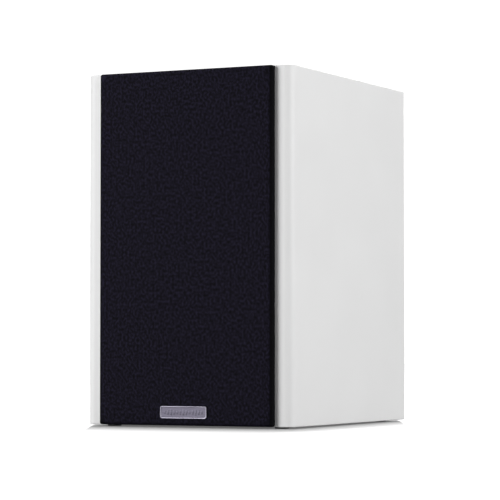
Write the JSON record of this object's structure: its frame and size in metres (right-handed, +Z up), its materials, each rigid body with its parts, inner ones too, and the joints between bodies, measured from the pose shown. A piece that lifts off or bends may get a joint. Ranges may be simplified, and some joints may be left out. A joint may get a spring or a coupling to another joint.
{
  "type": "bookshelf speaker",
  "caption": "Bookshelf loudspeaker: white lacquered box with rounded front edges, full-height pull-off dark cloth grille, cone and dome drivers, rear port and binding posts.",
  "frame": {"origin": "centre of the bounding box, on the plane that the feet stand on", "axes": "+X to the listener's right when facing the grille, +Y to the back, +Z up; the grille faces -Y"},
  "size_m": [0.198, 0.2594, 0.3065],
  "materials": {
    "white_lacquer": "gloss",
    "foot_rubber": "matte",
    "wadding": "matte",
    "cast_alloy": "satin",
    "gasket_foam": "matte",
    "surround_rubber": "satin",
    "cone_paper": "matte",
    "coil_former": "satin",
    "copper_wire": "satin",
    "spider_cloth": "matte",
    "plated_steel": "satin",
    "ferrite": "matte",
    "phenolic": "matte",
    "brass_tab": "polished",
    "black_screw": "satin",
    "faceplate_plastic": "satin",
    "silk_dome": "satin",
    "port_plastic": "satin",
    "gold_plate": "polished",
    "red_plastic": "gloss",
    "black_plastic": "gloss",
    "board_laminate": "satin",
    "nylon": "satin",
    "film_capacitor": "gloss",
    "cement_resistor": "matte",
    "wire_insulation": "gloss",
    "grille_plastic": "matte",
    "grille_knit": "matte",
    "badge_metal": "satin",
    "socket_rubber": "matte"
  },
  "bodies": {
    "cabinet": {"front_baffle": "white_lacquer", "left_side_panel": "white_lacquer", "right_side_panel": "white_lacquer", "top_panel": "white_lacquer", "bottom_panel": "white_lacquer", "rear_panel": "white_lacquer", "feet": "foot_rubber", "side_wadding": "wadding", "woofer_basket": "cast_alloy", "woofer_gasket": "gasket_foam", "tweeter_gasket": "gasket_foam", "terminal_cup_gasket": "gasket_foam", "woofer_surround": "surround_rubber", "woofer_trim_ring": "surround_rubber", "woofer_inductor": "copper_wire", "tweeter_inductor": "copper_wire", "woofer_tinsel_leads": "copper_wire", "woofer_spider": "spider_cloth", "woofer_top_plate": "plated_steel", "woofer_yoke": "plated_steel", "tweeter_top_plate": "plated_steel", "tweeter_yoke": "plated_steel", "woofer_magnet": "ferrite", "tweeter_magnet": "ferrite", "woofer_terminal_strip": "phenolic", "driver_tabs": "brass_tab", "solder_tags": "brass_tab", "driver_screws": "black_screw", "terminal_screws": "black_screw", "tweeter_faceplate": "faceplate_plastic", "tweeter_rear_cup": "faceplate_plastic", "tweeter_surround": "silk_dome", "port_tube": "port_plastic", "terminal_cup": "port_plastic", "red_post": "gold_plate", "black_post": "gold_plate", "post_nuts": "gold_plate", "crossover_board": "board_laminate", "board_pillars": "nylon", "capacitors": "film_capacitor", "crossover_resistor": "cement_resistor", "input_leads": "wire_insulation", "woofer_leads": "wire_insulation", "tweeter_leads": "wire_insulation", "grille_sockets": "socket_rubber"},
    "grille": {"grille_stiles": "grille_plastic", "grille_rails": "grille_plastic", "grille_cloth": "grille_knit", "grille_cloth_wrap": "grille_knit", "grille_badge": "badge_metal"},
    "woofer_cone_assembly": {"woofer_cone": "cone_paper", "woofer_dust_cap": "cone_paper", "woofer_coil_former": "coil_former", "woofer_voice_coil": "copper_wire"},
    "tweeter_dome_assembly": {"tweeter_dome": "silk_dome", "tweeter_voice_coil": "copper_wire"},
    "red_clamp": {"red_washer": "red_plastic"},
    "red_knob": {"red_knob": "red_plastic"},
    "black_clamp": {"black_washer": "black_plastic"},
    "black_knob": {"black_knob": "black_plastic"}
  },
  "joints": [
    {"name": "grille_pull", "type": "slide", "parent": "cabinet", "child": "grille", "axis": [0, -1, 0], "range_m": [0, 0.06]},
    {"name": "woofer_excursion", "type": "slide", "parent": "cabinet", "child": "woofer_cone_assembly", "axis": [0, -1, 0], "range_m": [-0.004, 0.004], "stiffness_N_per_m": 1000, "deforming": ["woofer_surround", "woofer_spider", "woofer_tinsel_leads"]},
    {"name": "tweeter_excursion", "type": "slide", "parent": "cabinet", "child": "tweeter_dome_assembly", "axis": [0, -1, 0], "range_m": [-0.0003, 0.0003], "stiffness_N_per_m": 300, "deforming": ["tweeter_surround"]},
    {"name": "red_clamp_travel", "type": "slide", "parent": "cabinet", "child": "red_clamp", "axis": [0, 1, 0], "range_m": [0, 0.007]},
    {"name": "red_knob_turn", "type": "hinge", "parent": "red_clamp", "child": "red_knob", "pos_m": [-0.00953, 0.11875, 0.0865], "axis": [0, 1, 0], "range_deg": [0, 2521]},
    {"name": "black_clamp_travel", "type": "slide", "parent": "cabinet", "child": "black_clamp", "axis": [0, 1, 0], "range_m": [0, 0.007]},
    {"name": "black_knob_turn", "type": "hinge", "parent": "black_clamp", "child": "black_knob", "pos_m": [0.00953, 0.11875, 0.0865], "axis": [0, 1, 0], "range_deg": [0, 2521]}
  ],
  "couplings": [
    {"joint": "red_knob_turn", "follows": "red_clamp_travel", "rad_per_m": 6283.2},
    {"joint": "black_knob_turn", "follows": "black_clamp_travel", "rad_per_m": 6283.2}
  ]
}
